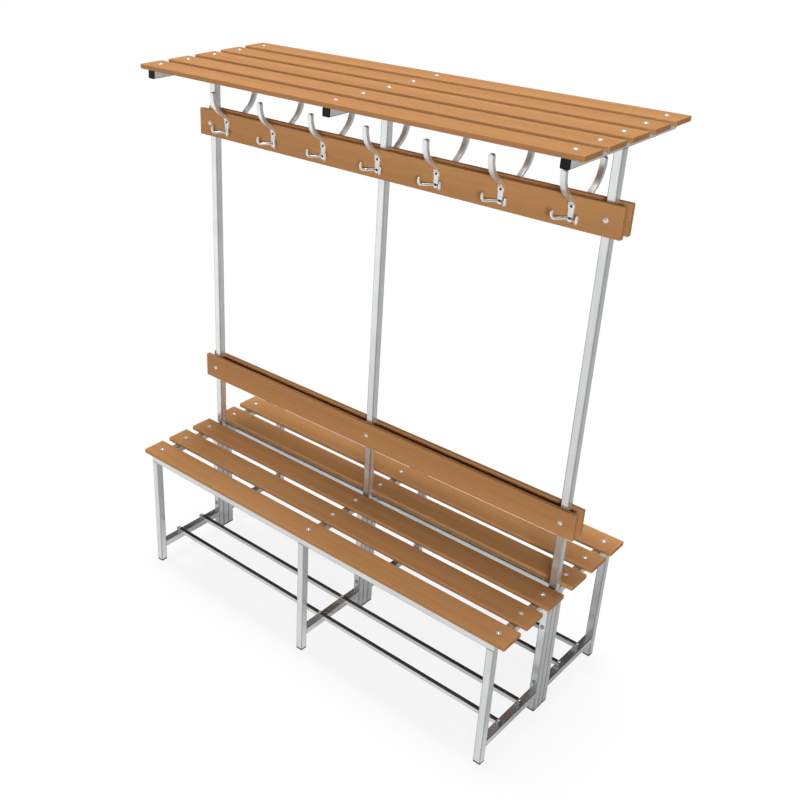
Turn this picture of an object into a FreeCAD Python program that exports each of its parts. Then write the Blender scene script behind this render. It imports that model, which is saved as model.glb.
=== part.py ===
import FreeCAD, Part
import math
import os

from FreeCAD import Placement, Rotation, Vector

# Double-sided locker room bench: two slatted seats, backrests, coat hooks, a top shelf and shoe bars.
# Millimetres. X runs along the bench, the front is towards -Y, and the floor under the middle is the origin.

# Overall sizes, and the frames and sides that the pieces repeat on
LENGTH = 1500
SHELF_HEIGHT = 1800
SEAT_HEIGHT = 465
FRAMES = {"left": -704, "centre": 0, "right": 704}
SIDES = {"front": -1, "rear": 1}

# Boards: one stock for seats, backrests, hook boards and shelf
BOARD_WIDTH = 85
BOARD_THICKNESS = 14
BOARD_CORNER = 2.5
BOARD_CORNER_FACETS = 1
BOARD_EASE = 1.5
SEAT_SLATS = 3
SEAT_PITCH = 115
SEAT_SPLIT = 46
SHELF_SLATS = 5
SHELF_PITCH = 112.5
BACKREST_MIDDLE = 694.5
HOOK_BOARD_MIDDLE = 1586

# Square steel tube: one size for frames and rails, a smaller one for the shoe bars
TUBE = 25
TUBE_WALL = 1.5
TUBE_CORNER = 2
TUBE_CORNER_FACETS = 1
OUTER_LEG_FACE = 332
CROSSBAR_UNDERSIDE = 55
SHELF_TUBE_LENGTH = 522
SHOE_TUBE = 15
SHOE_TUBE_WALL = 1.2
SHOE_TUBE_CORNER = 1.4
SHOE_BAR_PLACES = {"inner": 115, "outer": 230}
SHOE_BAR_LENGTH = 1418

# Moulded feet and end plugs, each with a stem that fits into its tube
STEM_CLEARANCE = 0.1
FOOT_HEIGHT = 6
FOOT_STEM = 14
SHELF_PLUG_HEAD = 4
SHELF_PLUG_RIM = 3.5
SHELF_PLUG_DISH = 1.5
SHELF_PLUG_STEM = 12
SHOE_PLUG_HEAD = 3
SHOE_PLUG_STEM = 8

# Triple coat hook: figure-of-eight plate, tall hat arm and two splayed prongs
HOOK_COUNT = 7
HOOK_PITCH = 205.5
HOOK_ROW_SHIFT = -5
HOOK_THICKNESS = 5
HOOK_SCREW_SPACING = 31
HOOK_LOBE_RADIUS = 10
HOOK_LOBE_FACETS = 8
HOOK_WAIST = 16
ARM_WIDTH = 15
ARM_FOOT = 19.5
ARM_ROOT = 22.5
ARM_ROOT_RADIUS = 10
ARM_ROOT_THICKNESS = 9
ARM_FACE_LEAN = 35.8
ARM_BACK_LEAN = 38.2
ARM_REACH = 62
ARM_SWEEP_TOP = 110
ARM_TIP = 121
ARM_TIP_THICKNESS = 13
ARM_TIP_CORNER = 6
ARM_TIP_FACETS = 2
PRONG_SIZE = 8.5
PRONG_SIDES = 8
PRONG_ROOT_ASIDE = 7
PRONG_ROOT = 3.3
PRONG_LEVEL = -16.5
PRONG_REACH = 35
PRONG_BEND = 10
PRONG_BEND_FACETS = 3
PRONG_TIP = 5
PRONG_TIP_EASE = 1.5

# Fasteners, as what stands proud: a diameter and its height for each ring, from the seat to the crown
HEAD_SIDES = 8
SCREW_HEAD = ((16, 0), (13, 2.4), (7, 4))
HOOK_SCREW_HEAD = ((7, 0), (4, 1.5))
HOOK_SCREW_SIDES = 6
FRAME_BOLT_HEAD = ((14, 0), (8, 3.5))
FRAME_BOLT_HEIGHTS = (113, 327)
FRAME_NUT = ((11.5, 0), (11.5, 5))
SHOE_BOLT_HEAD = ((11, 0), (6, 3))
SHOE_NUT = ((9.2, 0), (9.2, 4))
NUT_SIDES = 6

# Places that follow from the sizes above
SEAT_UNDERSIDE = SEAT_HEIGHT - BOARD_THICKNESS
RAIL_UNDERSIDE = SEAT_UNDERSIDE - TUBE
RAIL_END = FRAMES["right"] + TUBE / 2
SHELF_UNDERSIDE = SHELF_HEIGHT - BOARD_THICKNESS
POST_TOP = SHELF_UNDERSIDE - TUBE
OUTER_LEG = OUTER_LEG_FACE - TUBE / 2
INNER_LEG = TUBE
INNER_LEG_FACE = INNER_LEG + TUBE / 2
SHOE_BAR_UNDERSIDE = CROSSBAR_UNDERSIDE + TUBE
SHOE_BAR_TOP = SHOE_BAR_UNDERSIDE + SHOE_TUBE
BOARD_BACK = TUBE / 2
BOARD_FACE = BOARD_BACK + BOARD_THICKNESS

UP = Vector(0, 0, 1)
NO_TURN = Rotation()


def placed(shape, position, rotation=NO_TURN):
    """Copy of a shape, turned and then moved."""
    copy = shape.copy()
    copy.Placement = Placement(position, rotation)
    return copy


def tilted(sign):
    """Turn that lays the Z axis along Y, to the front or to the rear."""
    return Rotation(UP, Vector(0, sign, 0))


def level_edges(solid, height):
    """Edges that lie flat at one height."""
    boxes = [(edge, edge.BoundBox) for edge in solid.Edges]
    return [edge for edge, box in boxes if abs(box.ZMin - height) + abs(box.ZMax - height) < 1e-6]


def rounded_bar(width, depth, length, corner, facets):
    """Bar standing on the origin, with its long edges rounded in a few flat facets."""
    x, y = width / 2 - corner, depth / 2 - corner
    points = []
    for quarter, centre in enumerate([Vector(x, y), Vector(-x, y), Vector(-x, -y), Vector(x, -y)]):
        for step in range(facets + 1):
            angle = math.pi / 2 * (quarter + step / facets)
            points.append(centre + Vector(math.cos(angle), math.sin(angle)) * corner)
    return Part.Face(Part.makePolygon(points + points[:1])).extrude(UP * length)


def square_bar(side, length):
    """Sharp-edged square bar standing on the origin."""
    return Part.makeBox(side, side, length, Vector(-side / 2, -side / 2, 0))


def square_tube(start, end, side=TUBE, wall=TUBE_WALL, corner=TUBE_CORNER, end_wall=0):
    """Square tube between two points, open at its ends or closed by welded end walls."""
    length = (end - start).Length
    bore = square_bar(side - 2 * wall, length - 2 * end_wall)
    bore.translate(UP * end_wall)
    tube = rounded_bar(side, side, length, corner, TUBE_CORNER_FACETS).cut(bore)
    return placed(tube, start, Rotation(UP, end - start))


def plug(side, wall, head, stem, corner):
    """Moulded tube plug: a head as wide as the tube and a stem that fits into its bore."""
    core = square_bar(side - 2 * wall - 2 * STEM_CLEARANCE, head + stem)
    return rounded_bar(side, side, head, corner, TUBE_CORNER_FACETS).fuse(core).removeSplitter()


def fastener(levels, sides):
    """Head or nut standing on the origin, flat-sided, through rings of given corner diameter and height."""
    rings = [ring(diameter / 2, sides, height) for diameter, height in levels]
    outlines = [rings[0][::-1], rings[-1]]
    for low, high in zip(rings, rings[1:]):
        outlines += [[low[i], low[i + 1], high[i + 1], high[i], low[i]] for i in range(sides)]
    return Part.makeSolid(Part.makeShell([Part.Face(Part.makePolygon(points)) for points in outlines]))


def ring(radius, sides, height):
    """Closed ring of points on a circle around Z."""
    turns = [2 * math.pi * (index + 0.5) / sides for index in range(sides + 1)]
    return [Vector(radius * math.cos(turn), radius * math.sin(turn), height) for turn in turns]


def board():
    """Board lying flat along X, with rounded corners and eased edges."""
    blank = rounded_bar(LENGTH, BOARD_WIDTH, BOARD_THICKNESS, BOARD_CORNER, BOARD_CORNER_FACETS)
    return blank.makeChamfer(BOARD_EASE, level_edges(blank, 0) + level_edges(blank, BOARD_THICKNESS))


def seat_slat_place(sign, number):
    """Middle of a seat slat across the bench, numbered from the outer edge inwards."""
    steps = SEAT_SLATS - number
    return sign * (SEAT_SPLIT / 2 + BOARD_WIDTH / 2 + steps * SEAT_PITCH)


def shelf_slat_place(number):
    """Middle of a shelf slat across the bench, numbered from front to rear."""
    return (number - (SHELF_SLATS + 1) / 2) * SHELF_PITCH


def seat_slats():
    """Slats of both seats."""
    nodes = {}
    for side, sign in SIDES.items():
        for number in range(1, SEAT_SLATS + 1):
            position = Vector(0, seat_slat_place(sign, number), SEAT_UNDERSIDE)
            nodes[f"{side}_seat_slat_{number}"] = placed(board(), position)
    return nodes


def shelf_slats():
    """Slats of the shelf on top."""
    return {
        f"shelf_slat_{number}": placed(board(), Vector(0, shelf_slat_place(number), SHELF_UNDERSIDE))
        for number in range(1, SHELF_SLATS + 1)
    }


def post_boards():
    """Backrest and hook board on each face of the posts."""
    nodes = {}
    for side, sign in SIDES.items():
        back = sign * BOARD_BACK
        nodes[f"{side}_backrest"] = placed(board(), Vector(0, back, BACKREST_MIDDLE), tilted(sign))
        nodes[f"{side}_hook_board"] = placed(board(), Vector(0, back, HOOK_BOARD_MIDDLE), tilted(sign))
    return nodes


def leg_frame(x, sign):
    """Welded frame under one seat: outer leg, inner leg, low crossbar and the bearer between the rails."""
    legs = [
        square_tube(Vector(x, sign * y, FOOT_HEIGHT), Vector(x, sign * y, RAIL_UNDERSIDE))
        for y in (OUTER_LEG, INNER_LEG)
    ]
    inside = sign * INNER_LEG_FACE
    outside = sign * (OUTER_LEG_FACE - TUBE)
    bars = [
        square_tube(Vector(x, inside, underside + TUBE / 2), Vector(x, outside, underside + TUBE / 2))
        for underside in (CROSSBAR_UNDERSIDE, RAIL_UNDERSIDE)
    ]
    return Part.makeCompound(legs + bars)


def leg_frames():
    """One leg frame on each side of each post."""
    return {
        f"{side}_{place}_leg_frame": leg_frame(x, sign)
        for side, sign in SIDES.items()
        for place, x in FRAMES.items()
    }


def seat_rails():
    """Long rails welded over the leg tops, closed at their ends."""
    middle = RAIL_UNDERSIDE + TUBE / 2
    return {
        f"{side}_{place}_rail": square_tube(
            Vector(-RAIL_END, sign * y, middle), Vector(RAIL_END, sign * y, middle), end_wall=TUBE_WALL
        )
        for side, sign in SIDES.items()
        for place, y in (("outer", OUTER_LEG), ("inner", INNER_LEG))
    }


def posts():
    """Tall posts between the inner legs, from the floor to the shelf tubes."""
    return {
        f"{place}_post": square_tube(Vector(x, 0, FOOT_HEIGHT), Vector(x, 0, POST_TOP))
        for place, x in FRAMES.items()
    }


def shelf_tubes():
    """Cross tubes welded on the posts, which carry the shelf."""
    height = POST_TOP + TUBE / 2
    half = SHELF_TUBE_LENGTH / 2
    return {
        f"{place}_shelf_tube": square_tube(Vector(x, -half, height), Vector(x, half, height))
        for place, x in FRAMES.items()
    }


def shoe_bars():
    """Thin bars along the bench, bolted on the crossbars."""
    height = SHOE_BAR_UNDERSIDE + SHOE_TUBE / 2
    half = SHOE_BAR_LENGTH / 2
    return {
        f"{side}_{place}_shoe_bar": square_tube(
            Vector(-half, sign * y, height),
            Vector(half, sign * y, height),
            SHOE_TUBE,
            SHOE_TUBE_WALL,
            SHOE_TUBE_CORNER,
        )
        for side, sign in SIDES.items()
        for place, y in SHOE_BAR_PLACES.items()
    }


def foot_caps():
    """Feet under every leg and post."""
    foot = plug(TUBE, TUBE_WALL, FOOT_HEIGHT, FOOT_STEM, TUBE_CORNER)
    across = (-OUTER_LEG, -INNER_LEG, 0, INNER_LEG, OUTER_LEG)
    return Part.makeCompound([placed(foot, Vector(x, y, 0)) for x in FRAMES.values() for y in across])


def shelf_tube_plugs():
    """Dished plugs in both ends of the shelf tubes."""
    head = plug(TUBE, TUBE_WALL, SHELF_PLUG_HEAD, SHELF_PLUG_STEM, TUBE_CORNER)
    dished = head.cut(square_bar(TUBE - 2 * SHELF_PLUG_RIM, SHELF_PLUG_DISH))
    reach = SHELF_TUBE_LENGTH / 2 + SHELF_PLUG_HEAD
    height = POST_TOP + TUBE / 2
    return Part.makeCompound(
        [
            placed(dished, Vector(x, sign * reach, height), tilted(-sign))
            for x in FRAMES.values()
            for sign in SIDES.values()
        ]
    )


def shoe_bar_plugs():
    """Flat plugs in both ends of the shoe bars."""
    flat = plug(SHOE_TUBE, SHOE_TUBE_WALL, SHOE_PLUG_HEAD, SHOE_PLUG_STEM, SHOE_TUBE_CORNER)
    reach = SHOE_BAR_LENGTH / 2 + SHOE_PLUG_HEAD
    height = SHOE_BAR_UNDERSIDE + SHOE_TUBE / 2
    return Part.makeCompound(
        [
            placed(flat, Vector(end * reach, sign * y, height), Rotation(UP, Vector(-end, 0, 0)))
            for end in (-1, 1)
            for sign in SIDES.values()
            for y in SHOE_BAR_PLACES.values()
        ]
    )


def hook_plate():
    """Figure-of-eight plate, one lobe for each of the hook's two screws."""
    middle = HOOK_SCREW_SPACING / 2
    first = -math.acos(HOOK_WAIST / 2 / HOOK_LOBE_RADIUS)
    step = (math.pi - 2 * first) / HOOK_LOBE_FACETS
    angles = [first + step * index for index in range(HOOK_LOBE_FACETS + 1)]
    lobe = [Vector(math.cos(a), 0, math.sin(a)) * HOOK_LOBE_RADIUS for a in angles]
    upper = [point + UP * middle for point in lobe]
    lower = [-point for point in upper]
    outline = Part.makePolygon(upper + lower + upper[:1])
    return Part.Face(outline).extrude(Vector(0, -HOOK_THICKNESS, 0))


def arc_beside(centre, radius, first, last):
    """Arc in the YZ plane about a centre, between two angles in degrees from the outward direction."""
    angles = [math.radians(angle) for angle in (first, (first + last) / 2, last)]
    points = [centre + Vector(0, -radius * math.cos(a), radius * math.sin(a)) for a in angles]
    return Part.Arc(*points).toShape()


def arm_curve(radius, lean, reach):
    """One side of the arm's profile: a bend off the plate, a run, a wide sweep and an upright end."""
    turn = 90 + lean
    slope = Vector(0, math.sin(math.radians(lean)), math.cos(math.radians(lean)))
    root_centre = Vector(0, -ARM_ROOT_THICKNESS - ARM_ROOT_RADIUS, ARM_ROOT)
    joint = root_centre + slope * radius
    out, rise = reach + joint.y, ARM_SWEEP_TOP - joint.z
    run = out * slope.z / (1 - slope.y) - rise
    sweep = (rise * slope.z - out * slope.y) / (1 - slope.y)
    sweep_start = joint + Vector(0, -slope.z, slope.y) * run
    sweep_end = Vector(0, -reach, ARM_SWEEP_TOP)
    return [
        arc_beside(root_centre, radius, 180, turn),
        Part.makeLine(joint, sweep_start),
        arc_beside(sweep_start + slope * sweep, sweep, turn - 180, 0),
        Part.makeLine(sweep_end, Vector(0, -reach, ARM_TIP)),
    ]


def hat_arm():
    """Arm that bends out of the plate, sweeps up in a wide curve and thickens to a round tip."""
    half = ARM_TIP_THICKNESS / 2
    back = arm_curve(ARM_ROOT_RADIUS + ARM_ROOT_THICKNESS, ARM_BACK_LEAN, ARM_REACH - half)
    face = arm_curve(ARM_ROOT_RADIUS, ARM_FACE_LEAN, ARM_REACH + half)
    tip = Part.makeLine(back[-1].lastVertex().Point, face[-1].lastVertex().Point)
    foot = Part.makePolygon(
        [
            face[0].firstVertex().Point,
            Vector(0, -HOOK_THICKNESS, ARM_FOOT),
            Vector(0, 0, ARM_FOOT),
            back[0].firstVertex().Point,
        ]
    )
    band = Part.Face(Part.Wire(Part.sortEdges(back + [tip] + face + foot.Edges)[0]))
    arm = placed(band, Vector(-ARM_WIDTH / 2, 0, 0)).extrude(Vector(ARM_WIDTH, 0, 0))
    front = rounded_bar(ARM_WIDTH, 2 * ARM_TIP, 2 * ARM_REACH, ARM_TIP_CORNER, ARM_TIP_FACETS)
    return arm.common(placed(front, Vector(0, HOOK_THICKNESS, 0), tilted(-1)))


def prong(sign):
    """Round-tipped prong that runs out from the side of the lower lobe and turns up."""
    start = Vector(sign * PRONG_ROOT_ASIDE, -PRONG_ROOT, PRONG_LEVEL)
    corner = Vector(sign * PRONG_REACH, -PRONG_REACH, PRONG_LEVEL)
    along = (corner - start).normalize()
    bend_centre = corner + (UP - along) * PRONG_BEND
    angles = [math.pi / 2 * step / PRONG_BEND_FACETS for step in range(PRONG_BEND_FACETS + 1)]
    bend = [bend_centre + (along * math.sin(a) - UP * math.cos(a)) * PRONG_BEND for a in angles]
    tip = Vector(corner.x, corner.y, PRONG_TIP)
    path = Part.makePolygon([start, *bend, tip])
    corner_radius = PRONG_SIZE / 2 / math.cos(math.pi / PRONG_SIDES)
    section = Part.makePolygon(ring(corner_radius, PRONG_SIDES, 0))
    bar = path.makePipeShell([placed(section, start, Rotation(UP, along))], True, False, 1)
    return bar.makeChamfer(PRONG_TIP_EASE, level_edges(bar, PRONG_TIP))


def coat_hook():
    """One cast hook against the plane y = 0, standing out to the front, with its middle at the origin."""
    return hook_plate().fuse([hat_arm(), prong(-1), prong(1)]).removeSplitter()


def hook_places(sign):
    """Middles of one row of hooks along the board, set off to the left as seen from its own side."""
    middle = -sign * HOOK_ROW_SHIFT
    return [middle + (index - (HOOK_COUNT - 1) / 2) * HOOK_PITCH for index in range(HOOK_COUNT)]


def coat_hooks():
    """Row of hooks on each hook board."""
    hook = coat_hook()
    turns = {"front": NO_TURN, "rear": Rotation(UP, 180)}
    nodes = {}
    for side, sign in SIDES.items():
        places = [Vector(x, sign * BOARD_FACE, HOOK_BOARD_MIDDLE) for x in hook_places(sign)]
        row = [placed(hook, place, turns[side]) for place in places]
        nodes[f"{side}_coat_hooks"] = Part.makeCompound(row)
    return nodes


def slat_screws(across, height):
    """Screw heads on a row of slats, over every frame."""
    head = fastener(SCREW_HEAD, HEAD_SIDES)
    return Part.makeCompound([placed(head, Vector(x, y, height)) for x in FRAMES.values() for y in across])


def seat_screws():
    """One screw through each seat slat into each bearer."""
    numbers = range(1, SEAT_SLATS + 1)
    across = [seat_slat_place(sign, number) for sign in SIDES.values() for number in numbers]
    return slat_screws(across, SEAT_HEIGHT)


def shelf_screws():
    """One screw through each shelf slat into each shelf tube."""
    across = [shelf_slat_place(number) for number in range(1, SHELF_SLATS + 1)]
    return slat_screws(across, SHELF_HEIGHT)


def post_board_screws(places, height):
    """Screws through the boards on both faces of the posts, at one height."""
    head = fastener(SCREW_HEAD, HEAD_SIDES)
    return Part.makeCompound(
        [
            placed(head, Vector(x, sign * BOARD_FACE, height), tilted(sign))
            for x in places
            for sign in SIDES.values()
        ]
    )


def hook_screws():
    """Two screws through each hook plate."""
    head = fastener(HOOK_SCREW_HEAD, HOOK_SCREW_SIDES)
    out = BOARD_FACE + HOOK_THICKNESS
    heights = [HOOK_BOARD_MIDDLE + step * HOOK_SCREW_SPACING / 2 for step in (-1, 1)]
    return Part.makeCompound(
        [
            placed(head, Vector(x, sign * out, height), tilted(sign))
            for sign in SIDES.values()
            for x in hook_places(sign)
            for height in heights
        ]
    )


def frame_fasteners(shape, sign):
    """Bolt heads or nuts on the inner legs, where each post is clamped between its two leg frames."""
    return Part.makeCompound(
        [
            placed(shape, Vector(x, sign * INNER_LEG_FACE, height), tilted(sign))
            for x in FRAMES.values()
            for height in FRAME_BOLT_HEIGHTS
        ]
    )


def shoe_bar_fasteners(shape, height, direction):
    """Bolt heads or nuts where each shoe bar crosses a crossbar."""
    return Part.makeCompound(
        [
            placed(shape, Vector(x, sign * y, height), Rotation(UP, direction))
            for x in FRAMES.values()
            for sign in SIDES.values()
            for y in SHOE_BAR_PLACES.values()
        ]
    )


def fasteners():
    """Every group of like screws, bolts and nuts."""
    frame_nut = fastener(FRAME_NUT, NUT_SIDES)
    shoe_nut = fastener(SHOE_NUT, NUT_SIDES)
    return {
        "seat_screws": seat_screws(),
        "shelf_screws": shelf_screws(),
        "backrest_screws": post_board_screws(FRAMES.values(), BACKREST_MIDDLE),
        "hook_board_screws": post_board_screws((FRAMES["left"], FRAMES["right"]), HOOK_BOARD_MIDDLE),
        "hook_screws": hook_screws(),
        "frame_bolts": frame_fasteners(fastener(FRAME_BOLT_HEAD, HEAD_SIDES), SIDES["front"]),
        "frame_nuts": frame_fasteners(frame_nut, SIDES["rear"]),
        "shoe_bar_bolts": shoe_bar_fasteners(fastener(SHOE_BOLT_HEAD, HEAD_SIDES), SHOE_BAR_TOP, UP),
        "shoe_bar_nuts": shoe_bar_fasteners(shoe_nut, CROSSBAR_UNDERSIDE, -UP),
    }


def main():
    """Builds every piece and writes one file per node."""
    nodes = {
        **seat_slats(),
        **shelf_slats(),
        **post_boards(),
        **leg_frames(),
        **seat_rails(),
        **posts(),
        **shelf_tubes(),
        **shoe_bars(),
        **coat_hooks(),
        "foot_caps": foot_caps(),
        "shelf_tube_plugs": shelf_tube_plugs(),
        "shoe_bar_plugs": shoe_bar_plugs(),
        **fasteners(),
    }
    os.makedirs("parts", exist_ok=True)
    for name, shape in nodes.items():
        shape.exportStep(f"parts/{name}.step")


main()
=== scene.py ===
import logging
import math
from collections.abc import Iterable, Sequence
from dataclasses import dataclass
from enum import Enum

import bmesh
import bpy
from bmesh.types import BMEdge, BMesh, BMFace, BMVert
from bpy.types import Material, Mesh, Node, NodeSocket, NodeTree, Object
from mathutils import Matrix, Vector


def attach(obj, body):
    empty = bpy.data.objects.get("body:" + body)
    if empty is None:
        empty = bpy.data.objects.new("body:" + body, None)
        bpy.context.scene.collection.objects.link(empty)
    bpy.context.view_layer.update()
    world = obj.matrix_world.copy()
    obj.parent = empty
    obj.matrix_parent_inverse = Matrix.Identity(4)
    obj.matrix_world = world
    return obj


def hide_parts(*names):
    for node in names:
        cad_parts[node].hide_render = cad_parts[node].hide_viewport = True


# Looks of the double-sided locker room bench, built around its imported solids.
# Shapes are worked out in millimetres and handed over in metres.
# X runs along the bench, and the front is towards -Y.

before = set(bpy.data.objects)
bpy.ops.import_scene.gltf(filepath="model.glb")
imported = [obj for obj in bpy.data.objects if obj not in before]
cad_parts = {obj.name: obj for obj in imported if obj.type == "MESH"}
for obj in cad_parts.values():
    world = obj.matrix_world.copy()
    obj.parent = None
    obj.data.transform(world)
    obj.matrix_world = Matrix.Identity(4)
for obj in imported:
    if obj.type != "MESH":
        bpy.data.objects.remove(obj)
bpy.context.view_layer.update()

LOG = logging.getLogger("locker_room_bench")
BODY = "root"
MM = 0.001
UP = Vector((0, 0, 1))
OUT = Vector((0, -1, 0))
# A sixth of a turn, for six-sided sockets.
SIXTH = math.pi / 3
# Turn of the surface from which an edge counts as sharp.
CREASE = math.radians(50)
# How far apart, in millimetres, two points on one level may lie.
LEVEL = 1e-3
# Share of an edge's length that lies along an axis, from which the edge counts as running along it.
ALONG = 0.999
# Corners of a plain four-sided face.
QUAD = 4
# Flat steps in a round corner and in an eased edge.
CORNER_STEPS = 4
EASE_STEPS = 3
# Sockets of a Mix node for colours, which share their names with those for numbers and vectors.
MIX_SHARE, MIX_FROM, MIX_TO, MIX_OUT = 0, 6, 7, 2


class Side(Enum):
    """Side of the bench, by its sign along Y."""

    FRONT = -1
    REAR = 1

    @property
    def label(self) -> str:
        """The side's word in the names of nodes."""
        return self.name.lower()


class Place(Enum):
    """The three frames, by their middle along the bench in millimetres."""

    LEFT = -704
    CENTRE = 0
    RIGHT = 704

    @property
    def label(self) -> str:
        """The frame's word in the names of nodes."""
        return self.name.lower()


class Axis(Enum):
    """Direction that a piece runs in."""

    X = 0
    Y = 1
    Z = 2


class Slot(Enum):
    """The record's material slots."""

    WOOD = "board_wood"
    TUBE = "tube_steel"
    HOOK = "hook_metal"
    FASTENER = "fastener_steel"
    PLASTIC = "black_plastic"


def linear(colour: str) -> tuple[float, float, float, float]:
    """Turns an sRGB hex colour to linear.

    Args:
        colour: Six hex digits after a hash sign.

    Returns:
        Red, green, blue and alpha.
    """
    # The numbers are those of the sRGB standard.
    parts = [int(colour[start : start + 2], 16) / 255 for start in (1, 3, 5)]
    red, green, blue = [c / 12.92 if c <= 0.04045 else ((c + 0.055) / 1.055) ** 2.4 for c in parts]
    return red, green, blue, 1.0


def add_node(tree: NodeTree, kind: str, inputs: dict | None = None, **settings: object) -> Node:
    """Adds a node with its settings and links.

    Args:
        tree: Tree that takes the node.
        kind: Blender's name of the node type.
        inputs: Values or sockets for the node's inputs, by their name or number.
        settings: Values of the node's own properties.

    Returns:
        The new node.
    """
    node = tree.nodes.new(kind)
    for name, value in settings.items():
        setattr(node, name, value)
    for key, value in (inputs or {}).items():
        if isinstance(value, NodeSocket):
            tree.links.new(value, node.inputs[key])
        else:
            node.inputs[key].default_value = value
    return node


@dataclass(frozen=True)
class Finish:
    """A surface: what it is made of, and how that was finished."""

    name: str

    def material(self) -> Material:
        """Makes the finish's material, once.

        Returns:
            The material.
        """
        found = bpy.data.materials.get(self.name)
        if found:
            return found
        made = bpy.data.materials.new(self.name)
        made.use_nodes = True
        made.node_tree.nodes.clear()
        surface = self.shade(made.node_tree)
        add_node(made.node_tree, "ShaderNodeOutputMaterial", {"Surface": surface})
        return made

    def shade(self, tree: NodeTree) -> NodeSocket:
        """Builds the shader of the finish.

        Args:
            tree: Empty tree of the material.

        Returns:
            The shader's output.
        """
        raise NotImplementedError

    def pattern(self, tree: NodeTree, size: Sequence[float], detail: float = 2.0) -> NodeSocket:
        """Soft noise whose marks have a real size.

        Args:
            tree: Tree that takes the nodes.
            size: Length of a mark along X, Y and Z in millimetres.
            detail: Layers of finer noise.

        Returns:
            A value around 0.5.
        """
        place = add_node(tree, "ShaderNodeTexCoord").outputs["Object"]
        scale = [1 / (length * MM) for length in size]
        sized = add_node(tree, "ShaderNodeMapping", {"Vector": place, "Scale": scale})
        noise = {"Vector": sized.outputs[0], "Scale": 1.0, "Detail": detail}
        return add_node(tree, "ShaderNodeTexNoise", noise).outputs[0]


@dataclass(frozen=True)
class LacqueredBeech(Finish):
    """Steamed beech under satin lacquer: a warm even tan, faint bands, short fibres and darker end grain."""

    name: str = "lacquered_beech"
    pale: str = "#C7925F"
    deep: str = "#B68253"
    end_grain: str = "#A3703F"
    band_run: float = 700.0
    band_width: float = 15.0
    band_share: float = 0.55
    fibre_run: float = 38.0
    fibre_width: float = 1.6
    fibre_depth: float = 0.25
    fibre_share: float = 0.3
    board_run: float = 2500.0
    board_width: float = 55.0
    board_share: float = 0.45
    tones: tuple[float, float] = (0.42, 0.88)
    end_turn: tuple[float, float] = (0.6, 0.95)
    end_share: float = 0.45
    rough: tuple[float, float] = (0.42, 0.58)
    rough_tone: float = 0.85
    relief: float = 0.22
    ior: float = 1.5
    gloss: float = 0.12

    def shade(self, tree: NodeTree) -> NodeSocket:
        """Bands and fibres along X, a tint for each board, end grain on faces across X.

        Args:
            tree: Empty tree of the material.

        Returns:
            The shader's output.
        """
        bands = self.pattern(tree, (self.band_run, self.band_width, self.band_width), detail=3.0)
        fibres = self.pattern(tree, (self.fibre_run, self.fibre_width, self.fibre_width))
        boards = self.pattern(tree, (self.board_run, self.board_width, self.board_width), detail=0.0)
        sums = [0.0]
        for noise, part in ((bands, self.band_share), (fibres, self.fibre_share), (boards, self.board_share)):
            layer = {0: noise, 1: part, 2: sums[-1]}
            sums.append(add_node(tree, "ShaderNodeMath", layer, operation="MULTIPLY_ADD").outputs[0])
        _, _, fine, tone = sums
        least, most = self.tones
        share = add_node(
            tree, "ShaderNodeMapRange", {"Value": tone, "From Min": least, "From Max": most}
        ).outputs[0]
        faces = {MIX_SHARE: share, MIX_FROM: linear(self.deep), MIX_TO: linear(self.pale)}
        face = add_node(tree, "ShaderNodeMix", faces, data_type="RGBA").outputs[MIX_OUT]
        normal = add_node(tree, "ShaderNodeTexCoord").outputs["Normal"]
        lengthwise = add_node(tree, "ShaderNodeSeparateXYZ", {0: normal}).outputs[0]
        across = add_node(tree, "ShaderNodeMath", {0: lengthwise}, operation="ABSOLUTE").outputs[0]
        least, most = self.end_turn
        turned = {"Value": across, "From Min": least, "From Max": most, "To Max": self.end_share}
        ends = add_node(tree, "ShaderNodeMapRange", turned).outputs[0]
        wood = {MIX_SHARE: ends, MIX_FROM: face, MIX_TO: linear(self.end_grain)}
        colour = add_node(tree, "ShaderNodeMix", wood, data_type="RGBA").outputs[MIX_OUT]
        least, most = self.rough
        marks = {"Value": fine, "From Max": self.rough_tone, "To Min": least, "To Max": most}
        rough = add_node(tree, "ShaderNodeMapRange", marks).outputs[0]
        height = {"Height": fibres, "Strength": self.relief, "Distance": self.fibre_depth * MM}
        bump = add_node(tree, "ShaderNodeBump", height).outputs[0]
        lacquer = {
            "Base Color": colour,
            "Roughness": rough,
            "Normal": bump,
            "IOR": self.ior,
            "Specular IOR Level": self.gloss,
        }
        return add_node(tree, "ShaderNodeBsdfPrincipled", lacquer).outputs[0]


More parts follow.
